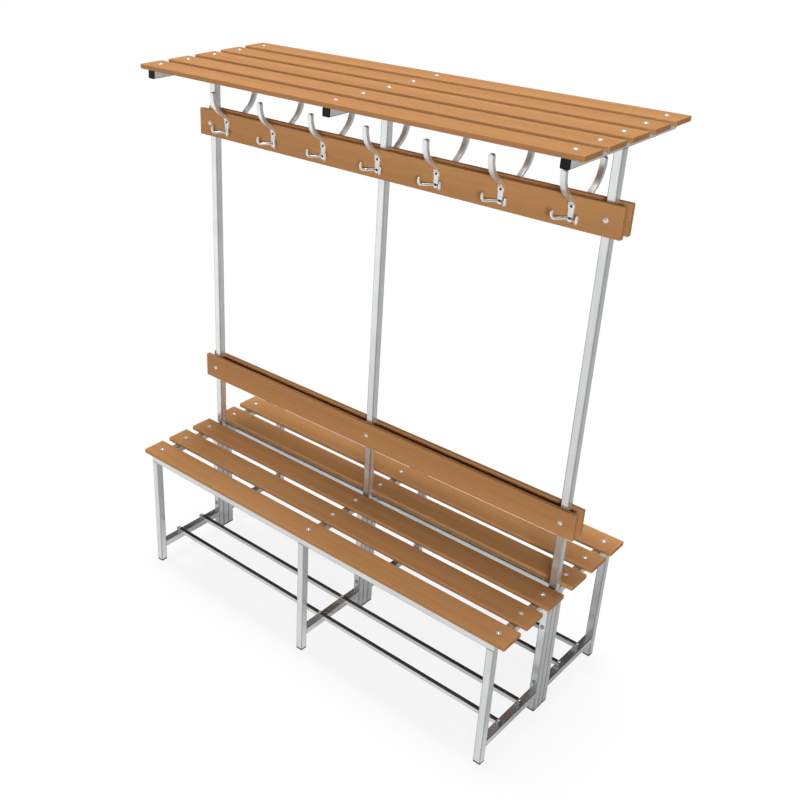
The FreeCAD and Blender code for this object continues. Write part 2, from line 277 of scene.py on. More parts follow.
@dataclass(frozen=True)
class TwoTone(Finish):
    """A finish that varies a little in colour between two tones, in roughness and in relief."""

    pale: str = "#FFFFFF"
    deep: str = "#FFFFFF"
    metallic: float = 0.0
    rough: tuple[float, float] = (0.4, 0.6)
    relief: float = 0.1
    depth: float = 0.1
    gloss: float = 0.5

    def dressed(self, tree: NodeTree, tone: NodeSocket, marks: NodeSocket, bumps: NodeSocket) -> NodeSocket:
        """Builds the shader from patterns.

        Args:
            tree: Tree that takes the nodes.
            tone: Where the colour lies between deep and pale.
            marks: Where the roughness lies in its range.
            bumps: Height of the relief.

        Returns:
            The shader's output.
        """
        tones = {MIX_SHARE: tone, MIX_FROM: linear(self.deep), MIX_TO: linear(self.pale)}
        colour = add_node(tree, "ShaderNodeMix", tones, data_type="RGBA").outputs[MIX_OUT]
        least, most = self.rough
        rough = add_node(
            tree, "ShaderNodeMapRange", {"Value": marks, "To Min": least, "To Max": most}
        ).outputs[0]
        height = {"Height": bumps, "Strength": self.relief, "Distance": self.depth * MM}
        bump = add_node(tree, "ShaderNodeBump", height).outputs[0]
        surface = {
            "Base Color": colour,
            "Metallic": self.metallic,
            "Roughness": rough,
            "Normal": bump,
            "Specular IOR Level": self.gloss,
        }
        return add_node(tree, "ShaderNodeBsdfPrincipled", surface).outputs[0]


@dataclass(frozen=True)
class SatinSteel(TwoTone):
    """Square tube, belt-ground along its length: light grey, blurred reflections and fine long streaks."""

    name: str = "satin_steel"
    run: Axis = Axis.Z
    pale: str = "#F6F8F8"
    deep: str = "#E6E9E9"
    metallic: float = 0.8
    rough: tuple[float, float] = (0.18, 0.32)
    relief: float = 0.12
    streak_run: float = 160.0
    streak_width: float = 2.2
    cloud: float = 90.0
    tones: tuple[float, float] = (0.7, 1.3)

    @classmethod
    def along(cls, run: Axis) -> "SatinSteel":
        """The finish of a tube that runs along one axis."""
        return cls(name=f"satin_steel_{run.name.lower()}", run=run)

    @classmethod
    def unground(cls) -> "SatinSteel":
        """The finish of the round corners: darker than the faces, with painted shade along them."""
        return cls(name="unground_steel_corner", pale="#C4C7C7", deep="#ABAEAE")

    @classmethod
    def scuffed(cls) -> "SatinSteel":
        """The finish of the shoe bars' tops: dark, with painted shade."""
        return cls(name="scuffed_steel_top", pale="#86898A", deep="#686B6C")

    def shade(self, tree: NodeTree) -> NodeSocket:
        """Streaks along the tube, drawn coarser than the real grit so that they show, under slow clouds.

        Args:
            tree: Empty tree of the material.

        Returns:
            The shader's output.
        """
        size = [self.streak_width] * len(Axis)
        size[self.run.value] = self.streak_run
        streaks = self.pattern(tree, size)
        clouds = self.pattern(tree, [self.cloud] * len(Axis), detail=1.0)
        both = add_node(tree, "ShaderNodeMath", {0: streaks, 1: clouds}, operation="ADD").outputs[0]
        least, most = self.tones
        tone = add_node(
            tree, "ShaderNodeMapRange", {"Value": both, "From Min": least, "From Max": most}
        ).outputs[0]
        return self.dressed(tree, tone, streaks, streaks)


@dataclass(frozen=True)
class PolishedAluminium(TwoTone):
    """Cast aluminium, tumbled and polished: near white, a soft shine and a slow ripple from the mould."""

    name: str = "polished_cast_aluminium"
    pale: str = "#FAFBFB"
    deep: str = "#F0F2F2"
    metallic: float = 0.84
    rough: tuple[float, float] = (0.28, 0.42)
    relief: float = 0.15
    depth: float = 0.3
    ripple: float = 7.0
    polish: float = 1.1

    def shade(self, tree: NodeTree) -> NodeSocket:
        """Ripples in colour and relief, fine polishing marks in the roughness.

        Args:
            tree: Empty tree of the material.

        Returns:
            The shader's output.
        """
        ripples = self.pattern(tree, [self.ripple] * len(Axis), detail=1.0)
        marks = self.pattern(tree, [self.polish] * len(Axis))
        return self.dressed(tree, ripples, marks, ripples)


@dataclass(frozen=True)
class BrightZinc(TwoTone):
    """Zinc plate on pressed steel: bright, slightly cool, with faint cloudy patches."""

    name: str = "bright_zinc_plate"
    pale: str = "#F3F4F6"
    deep: str = "#DCDFE2"
    metallic: float = 0.45
    rough: tuple[float, float] = (0.16, 0.28)
    cloud: float = 3.5

    def shade(self, tree: NodeTree) -> NodeSocket:
        """Patches in colour, roughness and relief."""
        clouds = self.pattern(tree, [self.cloud] * len(Axis))
        return self.dressed(tree, clouds, clouds, clouds)


@dataclass(frozen=True)
class DarkMould(TwoTone):
    """Dark dull surface with a fine grain: moulded plastic, or the blackened steel of small screws."""

    name: str = "moulded_black_plastic"
    pale: str = "#1A1A1B"
    deep: str = "#0E0E0F"
    rough: tuple[float, float] = (0.47, 0.63)
    relief: float = 0.25
    gloss: float = 0.3
    grain: float = 0.7

    def shade(self, tree: NodeTree) -> NodeSocket:
        """Fine grain in colour, roughness and relief."""
        grains = self.pattern(tree, [self.grain] * len(Axis))
        return self.dressed(tree, grains, grains, grains)


@dataclass(frozen=True)
class StudioFloor(Finish):
    """Matt pale floor, white to the eye but for the bench's soft shadow.

    Metal mirrors it as white at the front left, half lit along the rest of the front and dim behind.
    """

    name: str = "pale_studio_floor"
    paint: str = "#F4F4F4"
    bounce: str = "#7A7A7A"
    near: float = 0.5
    far: float = 1.7
    shadow: float = 0.13
    dim: float = 0.28
    half: float = 0.68
    front_ramp: tuple[float, float] = (-0.1, -0.32)
    left_ramp: tuple[float, float] = (-1.0, -1.9)

    def shade(self, tree: NodeTree) -> NodeSocket:
        """Matt paint, mixed with white for what is looked at or mirrored.

        Args:
            tree: Empty tree of the material.

        Returns:
            The shader's output.
        """
        place = add_node(tree, "ShaderNodeTexCoord").outputs["Object"]
        path = add_node(tree, "ShaderNodeLightPath").outputs
        away = add_node(tree, "ShaderNodeVectorMath", {0: place}, operation="LENGTH").outputs["Value"]
        fade = {"Value": away, "From Min": self.near, "From Max": self.far, "To Min": 1 - self.shadow}
        looked_at = add_node(tree, "ShaderNodeMapRange", fade, interpolation_type="SMOOTHSTEP").outputs[0]
        across = add_node(tree, "ShaderNodeSeparateXYZ", {0: place}).outputs
        # Painted light and shade in what metal mirrors: the glow is full at the front left, half along the
        # front, and dim under and behind the bench.
        lit = 1.0
        ramps = ((Axis.X, self.left_ramp, self.half), (Axis.Y, self.front_ramp, self.dim))
        for axis, (start, end), least in ramps:
            ramp = {"Value": across[axis.value], "From Min": start, "From Max": end}
            lit = add_node(tree, "ShaderNodeMapRange", ramp | {"To Min": least, "To Max": lit}).outputs[0]
        bent = add_node(tree, "ShaderNodeMath", {0: bent_rays(path), 1: lit}, operation="MULTIPLY").outputs[0]
        seen = {0: path["Is Camera Ray"], 1: looked_at, 2: bent}
        share = add_node(tree, "ShaderNodeMath", seen, operation="MULTIPLY_ADD").outputs[0]
        coats = {MIX_SHARE: path["Is Camera Ray"], MIX_FROM: linear(self.bounce), MIX_TO: linear(self.paint)}
        colour = add_node(tree, "ShaderNodeMix", coats, data_type="RGBA").outputs[MIX_OUT]
        paint = add_node(tree, "ShaderNodeBsdfDiffuse", {"Color": colour}).outputs[0]
        glow = add_node(tree, "ShaderNodeEmission", {"Strength": 1.0}).outputs[0]
        return add_node(tree, "ShaderNodeMixShader", {0: share, 1: paint, 2: glow}).outputs[0]


def bent_rays(path: Sequence[NodeSocket]) -> NodeSocket:
    """Adds a value that is one for rays that are mirrored or pass through something.

    Args:
        path: Outputs of a Light Path node.

    Returns:
        The value.
    """
    both = {0: path["Is Glossy Ray"], 1: path["Is Transmission Ray"]}
    return add_node(path[0].id_data, "ShaderNodeMath", both, operation="MAXIMUM").outputs[0]


def block(bm: BMesh, low: Sequence[float], high: Sequence[float]) -> list[BMVert]:
    """Adds a sharp box between two corners.

    Args:
        bm: Mesh that takes the box.
        low: Lowest corner.
        high: Highest corner.

    Returns:
        The box's corners.
    """
    first, last = Vector(low), Vector(high)
    place = Matrix.Translation((first + last) / 2) @ Matrix.Diagonal((*(last - first), 1))
    return bmesh.ops.create_cube(bm, size=1, matrix=place)["verts"]


def edges_between(verts: Iterable[BMVert]) -> list[BMEdge]:
    """Edges whose two ends are both among some points."""
    kept = set(verts)
    return list({edge for vert in kept for edge in vert.link_edges if set(edge.verts) <= kept})


def running(edges: Iterable[BMEdge], axis: Axis) -> list[BMEdge]:
    """Picks the edges that run along an axis.

    Args:
        edges: Edges to pick from.
        axis: The axis.

    Returns:
        The edges along it.
    """
    found = []
    for edge in edges:
        step = (edge.verts[1].co - edge.verts[0].co).normalized()
        if abs(step[axis.value]) > ALONG:
            found.append(edge)
    return found


def sharp(edges: Iterable[BMEdge], angle: float = CREASE) -> list[BMEdge]:
    """Edges where the surface turns by more than an angle."""
    return [edge for edge in edges if edge.is_manifold and edge.calc_face_angle(0) > angle]


def round_over(bm: BMesh, edges: Sequence[BMEdge], radius: float, segments: int) -> list[BMFace]:
    """Rounds edges over.

    Args:
        bm: Mesh that holds the edges.
        edges: Edges to round.
        radius: Radius in millimetres.
        segments: Flat steps in each round.

    Returns:
        The new faces.
    """
    return bmesh.ops.bevel(
        bm,
        geom=list(edges),
        offset=radius,
        offset_type="OFFSET",
        segments=segments,
        profile=0.5,
        affect="EDGES",
        material=-1,
        clamp_overlap=True,
    )["faces"]


def face_towards(faces: Iterable[BMFace], direction: Vector) -> BMFace:
    """The face that lies furthest out in a direction."""
    return max(faces, key=lambda face: face.calc_center_median().dot(direction) + face.normal.dot(direction))


def whole(face: BMFace) -> list:
    """A face with its edges and corners, as the operators take it."""
    return [face, *face.edges, *face.verts]


def as_mesh(bm: BMesh, name: str) -> Mesh:
    """Turns a working mesh to a stored one, with its faces outwards.

    Args:
        bm: Working mesh, which is used up.
        name: Name of the stored mesh.

    Returns:
        The stored mesh.
    """
    bmesh.ops.recalc_face_normals(bm, faces=bm.faces)
    mesh = bpy.data.meshes.new(name)
    bm.to_mesh(mesh)
    bm.free()
    return mesh


def repeat(bm: BMesh, places: Iterable[Matrix], name: str) -> BMesh:
    """Sets copies of a shape in several places.

    Args:
        bm: Shape at the origin, which is used up.
        places: Turn and place of each copy.
        name: Name for the stored shape.

    Returns:
        One mesh with all the copies.
    """
    stored = as_mesh(bm, name)
    row = bmesh.new()
    for place in places:
        row.verts.ensure_lookup_table()
        count = len(row.verts)
        row.from_mesh(stored)
        row.verts.ensure_lookup_table()
        bmesh.ops.transform(row, matrix=place, verts=row.verts[count:])
    bpy.data.meshes.remove(stored)
    return row


def facing(point: Sequence[float], direction: Vector) -> Matrix:
    """Place of a shape that stands on a point, with its Z axis turned to a direction."""
    return Matrix.Translation(Vector(point)) @ UP.rotation_difference(direction).to_matrix().to_4x4()


def deliver(node: str, bm: BMesh, slot: Slot, *finishes: Finish) -> Object:
    """Hands a finished shape over as the piece that stands for a node.

    Args:
        node: Name of the node.
        bm: Shape in millimetres, in its place, which is used up.
        slot: Material slot of the record; not used.
        finishes: Finishes, in the order of the faces' material numbers.

    Returns:
        The piece.
    """
    bmesh.ops.scale(bm, vec=(MM, MM, MM), verts=bm.verts)
    mesh = as_mesh(bm, f"bench_{node}")
    mesh.shade_smooth()
    mesh.set_sharp_from_angle(angle=CREASE)
    for finish in finishes:
        mesh.materials.append(finish.material())
    piece = bpy.data.objects.new(mesh.name, mesh)
    bpy.context.scene.collection.objects.link(piece)
    flat_faces = piece.modifiers.new("flat_faces_stay_flat", "WEIGHTED_NORMAL")
    flat_faces.keep_sharp = True
    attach(piece, BODY)
    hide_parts(node)
    LOG.info("%s: %d faces, %s", piece.name, len(mesh.polygons), ", ".join(f.name for f in finishes))
    return piece


@dataclass
class Boards:
    """Every board of the bench, cut from one stock: seats, backrests, hook boards and shelf."""

    length: float = 1500.0
    width: float = 85.0
    thickness: float = 14.0
    corner: float = 2.5
    ease: float = 1.5
    seat_top: float = 465.0
    seat_split: float = 46.0
    seat_pitch: float = 115.0
    seat_slats: int = 3
    shelf_top: float = 1800.0
    shelf_pitch: float = 112.5
    shelf_slats: int = 5
    post_face: float = 12.5
    backrest_middle: float = 694.5
    hook_board_middle: float = 1586.0
    finish: Finish = LacqueredBeech()

    def stock(self) -> BMesh:
        """Cuts one board, lying on the origin along X, with round corners and eased edges.

        Returns:
            The board's shape.
        """
        bm = bmesh.new()
        half = (self.length / 2, self.width / 2)
        corners = block(bm, (-half[0], -half[1], 0), (*half, self.thickness))
        round_over(bm, running(edges_between(corners), Axis.Z), self.corner, CORNER_STEPS)
        rims = [edge for edge in bm.edges if abs(edge.verts[0].co.z - edge.verts[1].co.z) < LEVEL]
        round_over(bm, sharp(rims), self.ease, EASE_STEPS)
        return bm

    def lay(self, node: str, place: Matrix) -> Object:
        """Puts one board in its place.

        Args:
            node: Name of the board's node.
            place: Turn and place of its underside.

        Returns:
            The piece.
        """
        bm = self.stock()
        bmesh.ops.transform(bm, matrix=place, verts=bm.verts)
        return deliver(node, bm, Slot.WOOD, self.finish)

    def seat_lines(self, side: Side) -> list[float]:
        """Works out the middles of one seat's slats across the bench.

        Args:
            side: Side of the seat.

        Returns:
            The middles, from the outer edge inwards.
        """
        first = self.seat_split / 2 + self.width / 2
        steps = reversed(range(self.seat_slats))
        return [side.value * (first + step * self.seat_pitch) for step in steps]

    def shelf_lines(self) -> list[float]:
        """Middles of the shelf's slats across the bench, from front to rear."""
        middle = (self.shelf_slats - 1) / 2
        return [(index - middle) * self.shelf_pitch for index in range(self.shelf_slats)]

    def build(self) -> list[Object]:
        """Lays the seats and the shelf, and stands the boards against the posts.

        Returns:
            The boards.
        """
        pieces = []
        for side in Side:
            for number, y in enumerate(self.seat_lines(side), 1):
                place = facing((0, y, self.seat_top - self.thickness), UP)
                pieces.append(self.lay(f"{side.label}_seat_slat_{number}", place))
            heights = {"backrest": self.backrest_middle, "hook_board": self.hook_board_middle}
            for word, height in heights.items():
                place = facing((0, side.value * self.post_face, height), -side.value * OUT)
                pieces.append(self.lay(f"{side.label}_{word}", place))
        for number, y in enumerate(self.shelf_lines(), 1):
            place = facing((0, y, self.shelf_top - self.thickness), UP)
            pieces.append(self.lay(f"shelf_slat_{number}", place))
        return pieces


@dataclass
class TubeFrames:
    """Posts, leg frames, rails, shelf tubes and shoe bars, all of square tube."""

    tube: float = 25.0
    corner: float = 3.0
    shoe_tube: float = 15.0
    end_ease: float = 0.5
    foot: float = 6.0
    outer_face: float = 332.0
    inner_face: float = 37.5
    crossbar_low: float = 55.0
    rail_low: float = 426.0
    post_top: float = 1761.0
    shelf_tube_half: float = 261.0
    rail_half: float = 716.5
    shoe_low: float = 80.0
    shoe_half: float = 709.0
    shoe_lines: tuple[tuple[str, float], ...] = (("inner", 115.0), ("outer", 230.0))

    def bar(
        self, bm: BMesh, run: Axis, span: tuple[float, float], middle: Vector, size: float, finish: int = 0
    ) -> None:
        """Adds one tube, with its round corners in the finish that follows the faces' own, the darker one
        with painted shade.

        Args:
            bm: Mesh that takes the tube.
            run: Axis that it runs along.
            span: Its two ends on that axis.
            middle: A point on its middle line.
            size: Its width.
            finish: Number of its faces' finish.
        """
        half = Vector([size / 2] * len(Axis))
        low, high = middle - half, middle + half
        low[run.value], high[run.value] = min(span), max(span)
        edges = edges_between(block(bm, low, high))
        for face in {face for edge in edges for face in edge.link_faces}:
            face.material_index = finish
        corners = round_over(bm, running(edges, run), self.corner * size / self.tube, CORNER_STEPS)
        # The round corners take the next finish, a darker one with painted shade.
        for face in corners:
            face.material_index = finish + 1
        rims = {edge for face in corners for edge in face.edges if not running([edge], run)}
        caps = {face for edge in rims for face in edge.link_faces if len(face.verts) > QUAD}
        round_over(bm, list({edge for cap in caps for edge in cap.edges}), self.end_ease, 1)

    def single(self, node: str, run: Axis, span: tuple[float, float], middle: Vector, size: float) -> Object:
        """Delivers a node of one tube.

        Args:
            node: Name of the node.
            run: Axis that the tube runs along.
            span: Its two ends on that axis.
            middle: A point on its middle line.
            size: Its width.

        Returns:
            The piece.
        """
        bm = bmesh.new()
        self.bar(bm, run, span, middle, size)
        return deliver(node, bm, Slot.TUBE, SatinSteel.along(run), SatinSteel.unground())

    def leg_frame(self, side: Side, place: Place) -> Object:
        """Welds one frame under a seat: two legs, the low crossbar and the bearer.

        Args:
            side: Side of the bench.
            place: Which of the three frames along it.

        Returns:
            The piece.
        """
        bm = bmesh.new()
        x, sign, half = place.value, side.value, self.tube / 2
        upright, level = [(SatinSteel.along(run), SatinSteel.unground()) for run in (Axis.Z, Axis.Y)]
        for y in (self.outer_face - half, self.inner_face - half):
            self.bar(bm, Axis.Z, (self.foot, self.rail_low), Vector((x, sign * y, 0)), self.tube)
        span = (sign * self.inner_face, sign * (self.outer_face - self.tube))
        for low in (self.crossbar_low, self.rail_low):
            self.bar(bm, Axis.Y, span, Vector((x, 0, low + half)), self.tube, finish=len(upright))
        return deliver(f"{side.label}_{place.label}_leg_frame", bm, Slot.TUBE, *upright, *level)

    def shoe_bar(self, node: str, middle: Vector) -> Object:
        """Delivers one thin bar that shoes stand on, with painted shade in a finish of its own on top.

        Args:
            node: Name of the node.
            middle: A point on its middle line.

        Returns:
            The piece.
        """
        bm = bmesh.new()
        self.bar(bm, Axis.X, (-self.shoe_half, self.shoe_half), middle, self.shoe_tube)
        sides = (SatinSteel.along(Axis.X), SatinSteel.unground())
        # The top face takes the dark finish with painted shade.
        face_towards(bm.faces, UP).material_index = len(sides)
        return deliver(node, bm, Slot.TUBE, *sides, SatinSteel.scuffed())

    def build(self) -> list[Object]:
        """Sets up every tube of the frames.

        Returns:
            The pieces.
        """
        half = self.tube / 2
        pieces = [self.leg_frame(side, place) for side in Side for place in Place]
        for side in Side:
            for word, face in (("outer", self.outer_face), ("inner", self.inner_face)):
                middle = Vector((0, side.value * (face - half), self.rail_low + half))
                span = (-self.rail_half, self.rail_half)
                pieces.append(self.single(f"{side.label}_{word}_rail", Axis.X, span, middle, self.tube))
            for word, y in self.shoe_lines:
                middle = Vector((0, side.value * y, self.shoe_low + self.shoe_tube / 2))
                pieces.append(self.shoe_bar(f"{side.label}_{word}_shoe_bar", middle))
        for place in Place:
            middle = Vector((place.value, 0, self.post_top + half))
            span = (self.foot, self.post_top)
            pieces.append(self.single(f"{place.label}_post", Axis.Z, span, middle, self.tube))
            span = (-self.shelf_tube_half, self.shelf_tube_half)
            pieces.append(self.single(f"{place.label}_shelf_tube", Axis.Y, span, middle, self.tube))
        return pieces


@dataclass
class CoatHooks:
    """Rows of triple hooks: each one casting with a figure-of-eight plate, a tall hat arm and two prongs."""

    count: int = 7
    pitch: float = 205.5
    row_shift: float = -5.0
    height: float = 1586.0
    board_face: float = 26.5
    thickness: float = 5.0
    screw_spacing: float = 31.0
    lobe: float = 10.0
    waist: float = 16.0
    waist_round: float = 1.4
    plate_ease: float = 1.1
    arm_width: float = 15.0
    arm_foot: float = 19.5
    arm_root: float = 22.5
    root_radius: float = 10.0
    root_thickness: float = 9.0
    face_lean: float = 35.8
    back_lean: float = 38.2
    reach: float = 62.0
    sweep_top: float = 110.0
    arm_tip: float = 121.0
    tip_thickness: float = 13.0
    tip_corner: float = 6.0
    arm_ease: float = 2.2
    sunk: float = 0.4
    prong: float = 4.25
    prong_aside: float = 7.0
    prong_root: float = 3.3
    prong_flare: float = 1.2
    flare_run: float = 14.0
    prong_level: float = -16.5
    prong_reach: float = 35.0
    prong_bend: float = 10.0
    prong_tip: float = 5.0
    prong_tip_round: float = 3.2
    lobe_steps: int = 28
    root_steps: int = 8
    sweep_steps: int = 14
    tip_steps: int = 6
    prong_sides: int = 16
    prong_steps: int = 8
    prong_tip_steps: int = 5
    weld: float = 0.01
    finish: Finish = PolishedAluminium()

    def plate(self) -> BMesh:
        """Makes the figure-of-eight plate against the plane y = 0, one lobe for each screw.

        Returns:
            The plate's shape.
        """
        bm = bmesh.new()
        half = self.screw_spacing / 2
        neck = math.acos(self.waist / 2 / self.lobe)
        first = bm.verts.new((self.waist / 2, 0, half - self.lobe * math.sin(neck)))
        lobe = {"cent": UP * half, "axis": OUT, "angle": math.pi + 2 * neck, "steps": self.lobe_steps}
        bmesh.ops.spin(bm, geom=[first], use_duplicate=False, **lobe)
        chain = list(bm.edges)
        copy = bmesh.ops.duplicate(bm, geom=list(bm.verts) + chain)["geom"]
        twins = [item for item in copy if isinstance(item, BMVert)]
        bmesh.ops.rotate(bm, cent=(0, 0, 0), matrix=Matrix.Rotation(math.pi, 3, "Y"), verts=twins)
        loose = [vert for vert in bm.verts if len(vert.link_edges) == 1]
        for side in (-1, 1):
            bm.edges.new([vert for vert in loose if vert.co.x * side > 0])
        outline = bmesh.ops.edgenet_fill(bm, edges=bm.edges)["faces"][0]
        lifted = bmesh.ops.extrude_face_region(bm, geom=whole(outline))["geom"]
        moved = [item for item in lifted if isinstance(item, BMVert)]
        bmesh.ops.translate(bm, vec=OUT * self.thickness, verts=moved)
        waist = [e for e in running(bm.edges, Axis.Y) if abs(abs(e.verts[0].co.x) - self.waist / 2) < LEVEL]
        round_over(bm, [e for e in waist if abs(e.verts[0].co.z) < half], self.waist_round, CORNER_STEPS)
        front = [e for e in bm.edges if all(v.co.y < LEVEL - self.thickness for v in e.verts)]
        round_over(bm, front, self.plate_ease, EASE_STEPS)
        return bm

    def arm_curve(self, bm: BMesh, radius: float, lean: float, reach: float) -> tuple[BMVert, BMVert]:
        """Draws one side of the arm's profile: a bend off the plate, a run, a wide sweep and an upright end.

        Args:
            bm: Mesh that takes the curve.
            radius: Radius of the bend off the plate.
            lean: Slope of the run in degrees.
            reach: How far the upright end stands out.

        Returns:
            The curve's two ends.
        """
        slope = Vector((0, math.sin(math.radians(lean)), math.cos(math.radians(lean))))
        root = Vector((0, -self.root_thickness - self.root_radius, self.arm_root))
        joint = root + radius * slope
        out, rise = reach + joint.y, self.sweep_top - joint.z
        run = out * slope.z / (1 - slope.y) - rise
        sweep = (rise * slope.z - out * slope.y) / (1 - slope.y)
        onward = Vector((0, -slope.z, slope.y)) * run
        bends = (
            (root, 1, self.root_steps, onward),
            (joint + onward + slope * sweep, -1, self.sweep_steps, UP * (self.arm_tip - self.sweep_top)),
        )
        turn = math.radians(90 - lean)
        first = last = bm.verts.new(root - radius * OUT)
        for centre, way, steps, straight in bends:
            spun = bmesh.ops.spin(bm, geom=[last], cent=centre, axis=(way, 0, 0), angle=turn, steps=steps)
            bend_end = next(item for item in spun["geom_last"] if isinstance(item, BMVert))
            last = bm.verts.new(bend_end.co + straight)
            bm.edges.new((bend_end, last))
        return first, last

    def arm(self) -> BMesh:
        """Makes the arm that bends out of the plate, sweeps up in a wide curve and thickens to a round tip.

        Returns:
            The arm's shape.
        """
        bm = bmesh.new()
        half = self.tip_thickness / 2
        back = self.arm_curve(bm, self.root_radius + self.root_thickness, self.back_lean, self.reach - half)
        face = self.arm_curve(bm, self.root_radius, self.face_lean, self.reach + half)
        foot = [
            bm.verts.new((0, -self.sunk, self.arm_foot)),
            bm.verts.new((0, self.sunk - self.thickness, self.arm_foot)),
        ]
        for ends in ((back[0], foot[0]), foot, (foot[1], face[0]), (back[1], face[1])):
            bm.edges.new(ends)
        profile = bmesh.ops.edgenet_fill(bm, edges=bm.edges)["faces"][0]
        bmesh.ops.translate(bm, vec=(-self.arm_width / 2, 0, 0), verts=bm.verts)
        self.drawn_out(bm, profile, Vector((self.arm_width, 0, 0)))
        tip = [e for e in running(bm.edges, Axis.Y) if min(v.co.z for v in e.verts) > self.sweep_top]
        round_over(bm, tip, self.tip_corner, self.tip_steps)
        round_over(bm, sharp(bm.edges), self.arm_ease, EASE_STEPS)
        return bm

    def side_prong(self, sign: int) -> BMesh:
        """Makes a round prong that flares out of the lower lobe, runs outwards and turns up to a round tip.

        Args:
            sign: -1 for the left prong, 1 for the right one.

        Returns:
            The prong's shape.
        """
        bm = bmesh.new()
        start = Vector((sign * self.prong_aside, -self.prong_root, self.prong_level))
        corner = Vector((sign * self.prong_reach, -self.prong_reach, self.prong_level))
        along = (corner - start).normalized()
        root = bmesh.ops.create_circle(
            bm, cap_ends=True, segments=self.prong_sides, radius=self.prong, matrix=facing(start, along)
        )["verts"]
        end = root[0].link_faces[0]
        straight = (corner - start).length - self.prong_bend
        for step in (self.flare_run, straight - self.flare_run):
            end = self.drawn_out(bm, end, along * step)
        centre = corner + (UP - along) * self.prong_bend
        bend = {"cent": centre, "axis": along.cross(UP), "angle": math.pi / 2, "steps": self.prong_steps}
        turned = bmesh.ops.spin(bm, geom=whole(end), **bend)["geom_last"]
        end = next(item for item in turned if isinstance(item, BMFace))
        end = self.drawn_out(bm, end, UP * (self.prong_tip - self.prong_level - self.prong_bend))
        round_over(bm, list(end.edges), self.prong_tip_round, self.prong_tip_steps)
        wide = Matrix.Scale(self.prong_flare, 4)
        bmesh.ops.transform(bm, matrix=wide, space=Matrix.Translation(-start), verts=root)
        return bm

    def drawn_out(self, bm: BMesh, end: BMFace, step: Vector) -> BMFace:
        """Draws the end face of a bar out.

        Args:
            bm: Mesh of the bar.
            end: The end face.
            step: How far it moves.

        Returns:
            The new end face.
        """
        drawn = bmesh.ops.extrude_face_region(bm, geom=whole(end))["geom"]
        bmesh.ops.translate(bm, vec=step, verts=[item for item in drawn if isinstance(item, BMVert)])
        return next(item for item in drawn if isinstance(item, BMFace))

    def casting(self) -> BMesh:
        """Joins one hook to a single closed skin, at the origin and standing out to the front.

        Returns:
            The hook's shape.
        """
        shapes = [self.plate(), self.arm(), self.side_prong(-1), self.side_prong(1)]
        parts = []
        for shape in shapes:
            part = bpy.data.objects.new("hook_part", as_mesh(shape, "hook_part"))
            bpy.context.scene.collection.objects.link(part)
            parts.append(part)
        for tool in parts[1:]:
            union = parts[0].modifiers.new("cast_as_one", "BOOLEAN")
            union.operation = "UNION"
            union.solver = "EXACT"
            union.object = tool
        cast = parts[0].evaluated_get(bpy.context.evaluated_depsgraph_get())
        joined = bpy.data.meshes.new_from_object(cast)
        bm = bmesh.new()
        bm.from_mesh(joined)
        for mesh in [part.data for part in parts] + [joined]:
            bpy.data.meshes.remove(mesh)
        bmesh.ops.remove_doubles(bm, verts=bm.verts, dist=self.weld)
        return bm

    def places(self, side: Side) -> list[float]:
        """Middles of one row along the bench, set off to the left as seen from its own side."""
        middle = -side.value * self.row_shift
        return [middle + (index - (self.count - 1) / 2) * self.pitch for index in range(self.count)]

    def build(self) -> list[Object]:
        """Screws a row of hooks to each hook board.

        Returns:
            The two rows.
        """
        pieces = []
        for side in Side:
            turn = Matrix.Rotation(0 if side is Side.FRONT else math.pi, 4, "Z")
            points = [Vector((x, side.value * self.board_face, self.height)) for x in self.places(side)]
            row = repeat(self.casting(), [Matrix.Translation(point) @ turn for point in points], "hook")
            pieces.append(deliver(f"{side.label}_coat_hooks", row, Slot.HOOK, self.finish))
        return pieces


